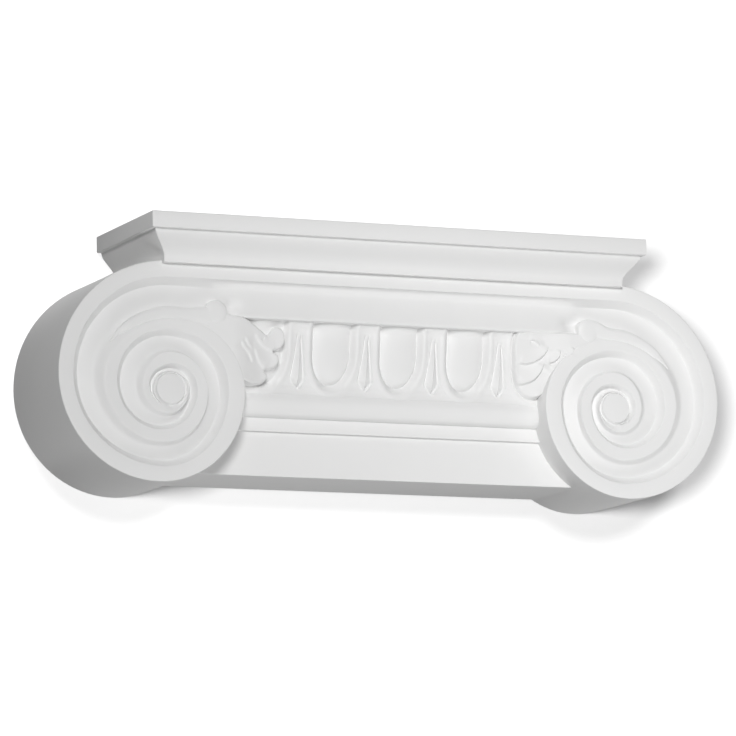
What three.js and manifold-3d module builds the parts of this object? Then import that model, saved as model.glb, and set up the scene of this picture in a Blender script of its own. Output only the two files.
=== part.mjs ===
// Ionic capital for a flat pilaster, cast in one piece.
// Millimetres. +X is to the right, the front faces -Y and +Z is up.
// The origin is the middle of the footprint, level with the bottoms of the two volutes.

import * as THREE from "three";
import { mergeVertices } from "three/addons/utils/BufferGeometryUtils.js";
import Module from "manifold-3d";

// ---- Driving dimensions -------------------------------------------------------------------
// A depth is measured forward from the flat back.

const WIDTH = 317;               // across both volutes
const HEIGHT = 116.4;            // volute bottoms to the top of the abacus
const DEPTH = 69;                // to the front of the abacus
const FACE_DEPTH = 57.8;         // to the flat of the volutes
const NECK_DEPTH = 42.7;
const NECK_BOTTOM = 6;           // underside of the neck above the volute bottoms

const ABACUS_WIDTH = 237.8;
const FASCIA_HEIGHT = 7.3;
const FASCIA_STEP = 2.2;         // how far the ogee starts behind the fascia
const OGEE_INSET = 6.2;          // how far the ogee runs back on its way down
const OGEE_SHARE = 0.88;         // share of its height over which it does so

// Radii of the scroll's outer edge, a quarter turn each: top to outside, outside to bottom,
// bottom to inside, inside to top.
const SCROLL_RADII = [51, 45.8, 40.4, 30.6];

const EYE_X = 107;
const EYE_Z = 40.7;
const EYE_RADIUS = 7.3;
// Distances from the eye's centre to the raised fillet's two edges, one for each quarter turn
// inwards, starting at the top of the volute and going outwards first.
const FILLET_OUTSIDE = [56.1, 51.5, 40.7, 34.7, 30.6, 30, 23.3, 17.2, 16, 12.6, 10.5, 8.4];
const FILLET_INSIDE = [48.9, 44.8, 34, 27.2, 26.4, 24.7, 18.3, 12.5, 11.1, 9.8, 7.9, 7.4];
const CANAL_QUARTERS = 7.2;      // quarter turns from the straight band to the canal's end
const CANAL_CUT = 4;             // depth of the canal in a volute

const TOP_EDGE_HEIGHT = 7.2;     // flat edge above the canal of the band
const CANAL_COVE = 3.8;          // depth of that canal under the edge
const COVE_HEIGHT = 3.6;
const LIP_Z = 73.4;              // lower edge of the band
const LIP_DEPTH = 56.6;

const STRIP_MIDDLE = 4.6;        // the carved strip sits this far right of the capital's middle
const STRIP_BOTTOM = 43.4;
const STRIP_BOTTOM_DEPTH = 46;
const STRIP_TOP_DEPTH = 51.6;
const EGG_PITCH = 32.3;
const CUP_HALF_WIDTH = 11.3;
const CUP_DEPTH = 3.4;
const CUP_ARC_Z = 58.5;          // where a cup's straight sides turn into its round bottom
const EGG_HALF_WIDTH = 8.6;
const DART_HALF_WIDTH = 3.2;
const DART_TOP = 67.5;
const DART_BARBS = 49.4;
const DART_TIP = 45.4;

const BEAD_BOTTOM = 31.6;
const BEAD_DEPTH = 49.6;
const FILLET_BOTTOM = 25.7;
const FILLET_DEPTH = 44.6;
const MOULDING_HALF_WIDTH = 101; // the mouldings run into the volutes

const STEM_DEPTH = 57.6;         // a hair behind the flat of the volutes
const STEM_WIDTH = 5.8;          // where it passes over the top of a volute
const STEM_QUARTERS = 1.1;       // how far round the volute it runs before it fades
const BUD_FROM_MIDDLE = 89.9;    // the stem's round end, from the strip's middle
const BUD_Z = 75.2;
const BUD_RADIUS = 5.2;

// A leaf's lobes: [distance from the strip's middle, height, half length, half width, tilt
// in degrees, stand-out].
const LEAF_LOBES = [
  [68, 67, 12.5, 6.4, 4, 3.4],
  [69, 58.5, 11.5, 5.6, 22, 3.4],
  [70.5, 50.5, 9.5, 5.6, 42, 3],
  [76, 55, 8, 4, 68, 2.4],
  [81, 66, 7, 3.6, 44, 2.6],
];

const QUARTER = Math.PI / 2;
const BACK_Y = DEPTH / 2;
const BAND_Z = SCROLL_RADII[0] + SCROLL_RADII[1];
const OUTSIDE_X = WIDTH / 2;
const FOOT_FACET = Math.PI / 60; // half the flat facet that a volute stands on
const WHITE_FOAM = new THREE.MeshStandardMaterial({ color: 0xf1f1f0, roughness: 0.62, metalness: 0 });

// ---- Solids ---------------------------------------------------------------------------------

const wasm = await Module();
wasm.setup();

/** A closed geometry as a solid that can be joined and cut. */
function solid(geometry) {
  const bare = geometry.clone();
  bare.deleteAttribute("normal");
  bare.deleteAttribute("uv");
  const merged = mergeVertices(bare, 1e-4);
  return new wasm.Manifold(new wasm.Mesh({
    numProp: 3,
    vertProperties: new Float32Array(merged.attributes.position.array),
    triVerts: new Uint32Array(merged.index.array),
  }));
}

/** A solid as a geometry again. */
function geometryOf(body) {
  const mesh = body.getMesh();
  const geometry = new THREE.BufferGeometry();
  geometry.setAttribute("position", new THREE.BufferAttribute(mesh.vertProperties, 3));
  geometry.setIndex(new THREE.BufferAttribute(mesh.triVerts, 1));
  geometry.computeVertexNormals();
  return geometry;
}

/** An array of count + 1 values of a function of 0..1. */
function sweep(count, valueAt) {
  return Array.from({ length: count + 1 }, (_, i) => valueAt(i / count));
}

/** Points of an arc, from one angle to another. */
function arc(centreX, centreZ, radius, from, to, steps) {
  return sweep(steps, (t) => {
    const angle = from + t * (to - from);
    return new THREE.Vector2(centreX + radius * Math.cos(angle), centreZ + radius * Math.sin(angle));
  });
}

const smoothStep = (t) => t * t * (3 - 2 * t);

/** A shape drawn in the front view, made solid from one depth to another. */
function frontPiece(shape, fromDepth, toDepth) {
  const geometry = new THREE.ExtrudeGeometry(shape, { depth: toDepth - fromDepth, bevelEnabled: false });
  geometry.rotateX(QUARTER);
  geometry.translate(0, BACK_Y - fromDepth, 0);
  return solid(geometry);
}

/** A section drawn as [depth, height], run along X between -halfWidth and +halfWidth. */
function sectionPiece(points, halfWidth) {
  const shape = new THREE.Shape(points.map(([depth, z]) => new THREE.Vector2(depth, z)));
  const geometry = new THREE.ExtrudeGeometry(shape, { depth: 2 * halfWidth, bevelEnabled: false });
  geometry.applyMatrix4(new THREE.Matrix4().makeBasis(
    new THREE.Vector3(0, -1, 0), new THREE.Vector3(0, 0, 1), new THREE.Vector3(-1, 0, 0)));
  geometry.translate(halfWidth, BACK_Y, 0);
  return solid(geometry);
}

/** A solid and its mirror image about the plane x = middle. */
function bothSides(piece, middle = 0) {
  return piece.add(piece.mirror([1, 0, 0]).translate([2 * middle, 0, 0]));
}

// ---- Volutes and band -----------------------------------------------------------------------

/** Outline of the plate that carries both volutes, in the front view. */
function scrollOutline() {
  const [r1, r2, r3, r4] = SCROLL_RADII;
  const bottomX = OUTSIDE_X - r2;
  const right = [
    ...arc(OUTSIDE_X - r1, r2, r1, QUARTER, 0, 14),
    ...arc(bottomX, r2, r2, -QUARTER / 14, -QUARTER + FOOT_FACET, 13),
    ...arc(bottomX, r3, r3, -QUARTER - FOOT_FACET, -Math.PI, 13),
    ...arc(bottomX - r3 + r4, r3, r4, Math.PI * 0.96, Math.PI * 0.66, 5),
    new THREE.Vector2(BUD_FROM_MIDDLE - STRIP_MIDDLE, LIP_Z - 1),
  ];
  const footHalfWidth = 1.2 * r2 * Math.sin(FOOT_FACET);
  for (const point of right) {
    if (point.y < 1 && Math.abs(point.x - bottomX) < footHalfWidth) point.y = 0;
  }
  const left = right.map((p) => new THREE.Vector2(-p.x, p.y)).reverse();
  return new THREE.Shape([...right, ...left]);
}

/** A spiral's distance from the eye after some quarter turns, running smoothly through its radii. */
function spiralRadius(radii, quarters) {
  const last = radii.length - 1;
  const i = Math.min(Math.floor(quarters), last - 1);
  const t = quarters - i;
  const at = (k) => radii[Math.min(Math.max(k, 0), last)];
  const startSlope = (at(i + 1) - at(i - 1)) / 2;
  const endSlope = (at(i + 2) - at(i)) / 2;
  return at(i) * (1 + 2 * t) * (1 - t) ** 2 + startSlope * t * (1 - t) ** 2
    + at(i + 1) * t * t * (3 - 2 * t) - endSlope * t * t * (1 - t);
}

/** A point of the right volute, some quarter turns in from its top, going outwards first. */
function volutePoint(radius, quarters) {
  const angle = QUARTER * (1 - quarters);
  return new THREE.Vector2(EYE_X + radius * Math.cos(angle), EYE_Z + radius * Math.sin(angle));
}

/** A ribbon of the right volute between two edges, each a distance for a number of quarter turns. */
function spiralRibbon(quarters, steps, outerEdge, innerEdge) {
  const along = (edge) => sweep(steps, (t) => volutePoint(edge(quarters * t), quarters * t));
  return [...along(outerEdge), ...along(innerEdge).reverse()];
}

/** The canal between two turns of the fillet, to be cut from the right volute. */
function spiralCanal() {
  const outside = (q) => spiralRadius(FILLET_INSIDE, q);
  const inside = (q) => Math.min(
    Math.max(spiralRadius(FILLET_OUTSIDE, q + 4), EYE_RADIUS), outside(q) - 1);
  const shape = new THREE.Shape(spiralRibbon(CANAL_QUARTERS, 44, outside, inside));
  return frontPiece(shape, FACE_DEPTH - CANAL_CUT, FACE_DEPTH + 1);
}

/** The canal of the straight band between the volutes, to be cut from the plate. */
function bandCanal() {
  const edgeZ = BAND_Z - TOP_EDGE_HEIGHT;
  const floor = FACE_DEPTH - CANAL_COVE;
  const cove = sweep(4, (t) => [
    FACE_DEPTH - CANAL_COVE * Math.sin(QUARTER * t), edgeZ - COVE_HEIGHT * (1 - Math.cos(QUARTER * t)),
  ]);
  return sectionPiece([
    [FACE_DEPTH + 1, edgeZ], ...cove, [floor, edgeZ - COVE_HEIGHT - 0.5],
    [LIP_DEPTH, LIP_Z + 1.2], [LIP_DEPTH - 0.9, LIP_Z - 0.5], [LIP_DEPTH - 0.9, LIP_Z - 2],
    [FACE_DEPTH + 1, LIP_Z - 2],
  ], EYE_X);
}

/** The leaf stem over the top of the right volute, with the round bud at its end at budX. */
function stem(budX) {
  const innerEdge = (q) => spiralRadius(FILLET_OUTSIDE, q + 4) - 1;
  const outerEdge = (q) =>
    innerEdge(q) + 1 + STEM_WIDTH * (1 - smoothStep(q / STEM_QUARTERS));
  const ribbon = spiralRibbon(STEM_QUARTERS, 10, outerEdge, innerEdge);
  const run = new THREE.Shape([
    new THREE.Vector2(budX, BUD_Z - BUD_RADIUS), new THREE.Vector2(budX, BUD_Z + BUD_RADIUS / 2),
    ...ribbon,
  ]);
  const bud = new THREE.Shape(arc(budX, BUD_Z, BUD_RADIUS, 0, 2 * Math.PI, 18).slice(1));
  const rootDepth = FACE_DEPTH - CANAL_CUT - 2;
  return frontPiece(run, rootDepth, STEM_DEPTH).add(frontPiece(bud, rootDepth, STEM_DEPTH));
}

function scrollPlate() {
  return frontPiece(scrollOutline(), 0, FACE_DEPTH)
    .subtract(bandCanal())
    .subtract(bothSides(spiralCanal()))
    .add(stem(BUD_FROM_MIDDLE + STRIP_MIDDLE))
    .add(stem(BUD_FROM_MIDDLE - STRIP_MIDDLE).mirror([1, 0, 0]));
}

// ---- Abacus ---------------------------------------------------------------------------------

/** The abacus section as [inset, height] from its fascia and from the band, top to bottom. */
function abacusProfile() {
  const ogeeTop = HEIGHT - FASCIA_HEIGHT;
  const ogee = sweep(10, (t) => [
    FASCIA_STEP + OGEE_INSET * smoothStep(Math.min(t / OGEE_SHARE, 1)), ogeeTop - t * (ogeeTop - BAND_Z),
  ]);
  return [[0, HEIGHT], [0, ogeeTop], ...ogee, [FASCIA_STEP + OGEE_INSET, BAND_Z - 1]];
}

/** The square slab with its ogee on the front and on both returns. */
function abacus() {
  const profile = abacusProfile();
  const front = sectionPiece(
    [[0, BAND_Z - 1], [0, HEIGHT], ...profile.map(([inset, z]) => [DEPTH - inset, z])], ABACUS_WIDTH);
  const right = profile.map(([inset, z]) => new THREE.Vector2(ABACUS_WIDTH / 2 - inset, z));
  const left = right.map((p) => new THREE.Vector2(-p.x, p.y)).reverse();
  return front.intersect(frontPiece(new THREE.Shape([...right, ...left]), 0, DEPTH + 1));
}

// ---- Mouldings under the band ------------------------------------------------------------------

/** Depth of the carved strip's ground at a height. */
function stripDepth(z) {
  const t = (z - STRIP_BOTTOM) / (LIP_Z - STRIP_BOTTOM);
  return STRIP_BOTTOM_DEPTH + (STRIP_TOP_DEPTH - STRIP_BOTTOM_DEPTH) * Math.sin(QUARTER * t);
}

/** Neck, fillet, bead and the ground of the carved strip, between the volutes. */
function mouldings() {
  const beadHalf = (STRIP_BOTTOM - BEAD_BOTTOM) / 2;
  const bead = sweep(8, (t) => [
    FILLET_DEPTH + (BEAD_DEPTH - FILLET_DEPTH) * Math.sin(Math.PI * t),
    BEAD_BOTTOM + beadHalf * (1 - Math.cos(Math.PI * t)),
  ]);
  const ground = sweep(6, (t) => {
    const z = STRIP_BOTTOM + t * (LIP_Z - STRIP_BOTTOM);
    return [stripDepth(z), z];
  });
  return sectionPiece([
    [0, LIP_Z + 1], [0, NECK_BOTTOM], [NECK_DEPTH, NECK_BOTTOM], [NECK_DEPTH, FILLET_BOTTOM],
    [FILLET_DEPTH, FILLET_BOTTOM], ...bead, ...ground, [STRIP_TOP_DEPTH, LIP_Z + 1],
  ], MOULDING_HALF_WIDTH);
}

/** A long rounded body, straight above CUP_ARC_Z and round below, lying in the strip's ground. */
function uBody(halfWidth, bottomZ, standOut) {
  const roundHeight = CUP_ARC_Z - bottomZ;
  const straight = LIP_Z + roundHeight - CUP_ARC_Z;
  const body = new THREE.CapsuleGeometry(1, straight / roundHeight, 6, 20);
  body.rotateX(QUARTER);
  body.scale(halfWidth, standOut, roundHeight);
  body.translate(0, 0, straight / 2);
  body.rotateX(Math.atan2(stripDepth(LIP_Z) - stripDepth(bottomZ), LIP_Z - bottomZ));
  body.translate(0, BACK_Y - stripDepth(CUP_ARC_Z), CUP_ARC_Z);
  const belowLip = new THREE.BoxGeometry(WIDTH, 2 * DEPTH, LIP_Z);
  belowLip.translate(0, 0, LIP_Z / 2);
  return solid(body).intersect(solid(belowLip));
}

/** A dart: a long thin pyramid that widens to its barbs and ends in a point below. */
function dart() {
  const blade = (height, flip) => {
    const cone = new THREE.ConeGeometry(1, height, 4);
    cone.rotateX(flip ? -QUARTER : QUARTER);
    cone.scale(DART_HALF_WIDTH, 1.8, 1);
    cone.translate(0, 0, DART_BARBS + (flip ? -height / 2 : height / 2));
    return solid(cone);
  };
  const upright = blade(DART_TOP - DART_BARBS, false).add(blade(DART_BARBS - DART_TIP, true));
  const lean = Math.atan2(stripDepth(DART_TOP) - stripDepth(DART_TIP), DART_TOP - DART_TIP);
  return upright
    .translate([0, 0, -DART_BARBS])
    .rotate([THREE.MathUtils.radToDeg(lean), 0, 0])
    .translate([0, BACK_Y - stripDepth(DART_BARBS), DART_BARBS]);
}

/** One half-palmette: overlapping rounded lobes that hang from the stem's bud. */
function leaf() {
  let whole = null;
  for (const [x, z, halfLength, halfWidth, tilt, standOut] of LEAF_LOBES) {
    const lobe = new THREE.SphereGeometry(1, 16, 8);
    lobe.scale(halfLength, standOut, halfWidth);
    lobe.rotateY(THREE.MathUtils.degToRad(tilt));
    lobe.translate(x, BACK_Y - stripDepth(z) - 0.6, z);
    whole = whole ? whole.add(solid(lobe)) : solid(lobe);
  }
  return whole;
}

/** The mouldings with the cups, eggs, darts and leaves of the carved strip. */
function carvedStrip() {
  const eggs = [-1, 0, 1];
  const halfEggs = [-2, 2];
  const darts = [-1.5, -0.5, 0.5, 1.5];
  const along = (piece, n) => piece.translate([STRIP_MIDDLE + n * EGG_PITCH, 0, 0]);
  const cup = uBody(CUP_HALF_WIDTH, STRIP_BOTTOM + 1, CUP_DEPTH);
  const egg = uBody(EGG_HALF_WIDTH, STRIP_BOTTOM + 3.6, CUP_DEPTH);
  let body = mouldings();
  for (const n of [...eggs, ...halfEggs]) body = body.subtract(along(cup, n));
  for (const n of [...eggs, ...halfEggs]) body = body.add(along(egg, n));
  for (const n of darts) body = body.add(along(dart(), n));
  return body.add(bothSides(leaf()).translate([STRIP_MIDDLE, 0, 0]));
}

// ---- The capital --------------------------------------------------------------------------------

const capital = new THREE.Mesh(
  geometryOf(scrollPlate().add(carvedStrip()).add(abacus())), WHITE_FOAM);
capital.name = "capital";

const part = new THREE.Group();
part.add(capital);
export default part;
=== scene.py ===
"""A cast ionic capital for a flat pilaster, in primed foam, against a pale studio wall and floor.

Lengths in the classes are millimetres, and the casting is scaled to metres as it is finished.
+X is to the right, the front faces -Y and +Z is up. A depth is measured forward from the flat back.
"""

import logging
import math
from collections.abc import Callable, Iterable
from dataclasses import dataclass, field, replace
from enum import Enum

import bmesh
import bpy
from mathutils import Matrix, Vector

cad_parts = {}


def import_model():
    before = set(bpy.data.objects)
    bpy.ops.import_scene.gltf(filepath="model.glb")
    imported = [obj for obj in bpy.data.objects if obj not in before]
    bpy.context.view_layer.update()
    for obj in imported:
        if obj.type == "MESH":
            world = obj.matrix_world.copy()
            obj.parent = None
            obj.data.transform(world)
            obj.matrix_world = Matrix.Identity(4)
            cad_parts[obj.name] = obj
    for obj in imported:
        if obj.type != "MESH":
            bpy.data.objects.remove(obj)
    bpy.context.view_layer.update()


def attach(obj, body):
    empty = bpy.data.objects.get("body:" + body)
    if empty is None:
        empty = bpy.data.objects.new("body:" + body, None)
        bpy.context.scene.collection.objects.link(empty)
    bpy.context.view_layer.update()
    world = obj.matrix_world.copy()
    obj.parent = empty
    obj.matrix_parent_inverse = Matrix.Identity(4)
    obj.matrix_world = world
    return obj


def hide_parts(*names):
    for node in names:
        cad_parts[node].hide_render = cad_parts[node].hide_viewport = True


LOG = logging.getLogger("capital")
MILLIMETRE = 0.001
BACK_Y = 34.5  # the flat back, in millimetres behind the middle of the footprint
FACE_DEPTH = 57.8  # the flat of the volutes and of the band's upper edge
LIP_Z = 73.4  # lower edge of the band
STRIP_MIDDLE = 4.6  # the carved strip sits this far right of the capital's middle
FLAT = 0.99999  # a face as square to an axis as this is shaded flat
Place = Callable[[float, float], Vector]
Line = tuple[tuple[float, float], ...]


class Side(Enum):
    """One end of the capital, with the sign of its X."""

    LEFT = -1
    RIGHT = 1


class Working(Enum):
    """How one solid is worked into the casting."""

    JOINED = "UNION"
    CUT_AWAY = "DIFFERENCE"


# ---- Shapes --------------------------------------------------------------------------------------


def spot(x: float, depth: float, z: float) -> Vector:
    """A point from its depth forward of the back."""
    return Vector((x, BACK_Y - depth, z))


def ease(t: float) -> float:
    """A smooth step from 0 to 1, held at its ends."""
    t = min(max(t, 0.0), 1.0)
    return t * t * (3 - 2 * t)


def between(start: float, end: float, t: float) -> float:
    """The value a share t of the way from start to end."""
    return start + (end - start) * t


@dataclass(frozen=True)
class Run:
    """A size that runs smoothly through its values, one for each whole step."""

    values: tuple[float, ...]

    def at(self, place: float) -> float:
        """The size at a place between steps.

        Args:
            place: 0 for the first value, 1 for the second and so on.

        Returns:
            The size there, held at the ends.
        """
        last = len(self.values) - 1
        place = min(max(place, 0.0), float(last))
        i = min(int(place), last - 1)
        t = place - i
        before, start = self.values[max(i - 1, 0)], self.values[i]
        end, after = self.values[i + 1], self.values[min(i + 2, last)]
        rise_in, rise_out = (end - before) / 2, (after - start) / 2
        return (
            start * (1 + 2 * t) * (1 - t) ** 2
            + rise_in * t * (1 - t) ** 2
            + end * t * t * (3 - 2 * t)
            - rise_out * t * t * (1 - t)
        )


def close_at_back(bm: bmesh.types.BMesh, back_depth: float) -> bmesh.types.BMesh:
    """Runs an open face's rim straight back and closes it there.

    Args:
        bm: A carved face with one open rim.
        back_depth: The depth that its rim runs back to.

    Returns:
        The same mesh, now a closed solid with its faces outwards.
    """
    bmesh.ops.remove_doubles(bm, verts=bm.verts, dist=2e-4)
    bmesh.ops.dissolve_degenerate(bm, edges=bm.edges, dist=2e-4)
    rim = [edge for edge in bm.edges if edge.is_boundary]
    grown = bmesh.ops.extrude_edge_only(bm, edges=rim)["geom"]
    for vert in (part for part in grown if isinstance(part, bmesh.types.BMVert)):
        vert.co.y = BACK_Y - back_depth
    rim = [edge for edge in bm.edges if edge.is_boundary]
    bmesh.ops.holes_fill(bm, edges=rim, sides=0)
    bmesh.ops.recalc_face_normals(bm, faces=bm.faces)
    return bm


def carved_face(rows: int, columns: int, place: Place) -> bmesh.types.BMesh:
    """A grid whose points are moved onto a carved face.

    Args:
        rows: Divisions along the carving.
        columns: Divisions across it.
        place: Gives a point from its share of the way along and across.

    Returns:
        The open face.
    """
    bm = bmesh.new()
    bmesh.ops.create_grid(bm, x_segments=rows, y_segments=columns, size=0.5)
    for vert in bm.verts:
        vert.co = place(vert.co.x + 0.5, vert.co.y + 0.5)
    return bm


def extruded_section(points: Iterable[tuple[float, float]], half_width: float) -> bmesh.types.BMesh:
    """A moulding's section, drawn as (depth, height), run along X.

    Args:
        points: The section's outline in order.
        half_width: How far it runs to either side of the middle.

    Returns:
        The closed moulding.
    """
    bm = bmesh.new()
    ring = [bm.verts.new(spot(-half_width, depth, z)) for depth, z in points]
    end = bm.faces.new(ring)
    grown = bmesh.ops.extrude_face_region(bm, geom=[end])["geom"]
    moved = [part for part in grown if isinstance(part, bmesh.types.BMVert)]
    bmesh.ops.translate(bm, verts=moved, vec=(2 * half_width, 0, 0))
    bmesh.ops.recalc_face_normals(bm, faces=bm.faces)
    return bm


def mirrored(bm: bmesh.types.BMesh, middle: float = 0.0) -> bmesh.types.BMesh:
    """A solid's mirror image about a plane across X, in its place."""
    bmesh.ops.scale(bm, vec=(-1, 1, 1), verts=bm.verts)
    bmesh.ops.translate(bm, vec=(2 * middle, 0, 0), verts=bm.verts)
    bmesh.ops.reverse_faces(bm, faces=bm.faces)
    return bm


@dataclass(frozen=True)
class Blade:
    """A raised tongue along a line in the front view, such as a petal, a dart or a stem."""

    spine: Callable[[float], tuple[float, float]]
    half_width: Callable[[float], float]
    depth: Callable[[float, float], float]
    rows: int = 24
    columns: int = 16

    def build(self, back_depth: float) -> bmesh.types.BMesh:
        """Builds the tongue.

        Args:
            back_depth: How deep it is rooted.

        Returns:
            The closed solid.
        """

        def place(along: float, across: float) -> Vector:
            """A point of the tongue, square to its line."""
            s = 2 * across - 1
            x, z = self.spine(along)
            ahead, behind = self.spine(along + 0.01), self.spine(along - 0.01)
            run = Vector((ahead[0] - behind[0], ahead[1] - behind[1])).normalized()
            offset = s * self.half_width(along)
            return spot(x - run.y * offset, self.depth(along, s), z + run.x * offset)

        return close_at_back(carved_face(self.rows, self.columns, place), back_depth)


# ---- The casting ---------------------------------------------------------------------------------


class Casting:
    """The one solid that all the pieces are worked into."""

    def __init__(self, name: str, body: bmesh.types.BMesh) -> None:
        """Starts the casting from its first solid."""
        self.shape = self._object(name, body)
        self.tools: list[bpy.types.Object] = []

    @staticmethod
    def _object(name: str, bm: bmesh.types.BMesh) -> bpy.types.Object:
        """An object in the scene from a mesh, which is freed."""
        mesh = bpy.data.meshes.new(name)
        bm.to_mesh(mesh)
        bm.free()
        shape = bpy.data.objects.new(name, mesh)
        bpy.context.scene.collection.objects.link(shape)
        return shape

    def work(self, bm: bmesh.types.BMesh, working: Working = Working.JOINED) -> None:
        """Joins a solid to the casting or cuts it away."""
        tool = self._object(f"tool_{len(self.tools)}", bm)
        self.tools.append(tool)
        cut = self.shape.modifiers.new(tool.name, "BOOLEAN")
        cut.solver = "MANIFOLD"
        cut.operation = working.value
        cut.object = tool

    def settle(self) -> None:
        """Applies the work done so far and clears its tools away."""
        ready = bpy.context.evaluated_depsgraph_get()
        mesh = bpy.data.meshes.new_from_object(self.shape.evaluated_get(ready))
        self.shape.modifiers.clear()
        self.shape.data = mesh
        for tool in self.tools:
            bpy.data.objects.remove(tool)
        self.tools.clear()

    def finish(self, crease: float) -> bpy.types.Object:
        """Cleans the mesh, scales it to metres and smooths its rounded faces.

        Args:
            crease: Edges sharper than this many degrees stay crisp.

        Returns:
            The finished object, at the origin.
        """
        self.settle()
        bm = bmesh.new()
        bm.from_mesh(self.shape.data)
        bmesh.ops.remove_doubles(bm, verts=bm.verts, dist=1e-3)
        bmesh.ops.dissolve_degenerate(bm, edges=bm.edges, dist=1e-4)
        bmesh.ops.scale(bm, vec=(MILLIMETRE,) * 3, verts=bm.verts)
        for face in bm.faces:
            face.smooth = max(abs(share) for share in face.normal) < FLAT
        bm.to_mesh(self.shape.data)
        bm.free()
        self.shape.data.set_sharp_from_angle(angle=math.radians(crease))
        return self.shape


# ---- Volutes and band ----------------------------------------------------------------------------


@dataclass(frozen=True)
class Scroll:
    """The right volute's lines, from the eye's centre, a quarter turn for each whole step.

    The first step is the top of the volute, and the lines wind outwards first and then in.
    """

    eye_x: float = 107.0
    eye_z: float = 40.7
    eye_radius: float = 7.3
    outside_x: Run = Run((-0.5, 51.5, 5.7, -34.7, -4.0, 30.0, 4.0, -17.2, -0.5, 12.6, 1.5, -8.4, 0.0))
    outside_z: Run = Run((56.1, 5.1, -40.7, -0.3, 30.3, 3.0, -23.2, -1.0, 16.0, 1.0, -10.5, 0.0, 7.3))
    inside_x: Run = Run((0.0, 44.7, 4.0, -27.1, 0.0, 24.7, 4.9, -12.4, -1.5, 10.0, 1.4, -7.4, 0.0))
    inside_z: Run = Run((48.9, 5.0, -33.9, 0.5, 26.3, 2.6, -17.9, 0.0, 11.0, 1.5, -7.6, 0.0, 7.3))

    def _line(self, xs: Run, zs: Run, quarters: float) -> Vector:
        """A point of a line made of quarter ellipses through its outermost points."""
        last = len(xs.values) - 1
        if quarters >= last:
            angle = math.pi / 2 * quarters
            x, z = self.eye_radius * math.sin(angle), self.eye_radius * math.cos(angle)
            return Vector((self.eye_x + x, self.eye_z + z))
        i = min(int(quarters), last - 1)
        angle = math.pi / 2 * (quarters - i)
        x0, x1, z0, z1 = xs.values[i], xs.values[i + 1], zs.values[i], zs.values[i + 1]
        if i % 2 == 0:
            x, z = x0 + (x1 - x0) * math.sin(angle), z1 + (z0 - z1) * math.cos(angle)
        else:
            x, z = x1 + (x0 - x1) * math.cos(angle), z0 + (z1 - z0) * math.sin(angle)
        return Vector((self.eye_x + x, self.eye_z + z))

    def outside(self, quarters: float) -> Vector:
        """The outer edge of the raised fillet, and past its end the rim of the eye."""
        return self._line(self.outside_x, self.outside_z, quarters)

    def inside(self, quarters: float) -> Vector:
        """The inner edge of the raised fillet."""
        return self._line(self.inside_x, self.inside_z, quarters)


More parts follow.
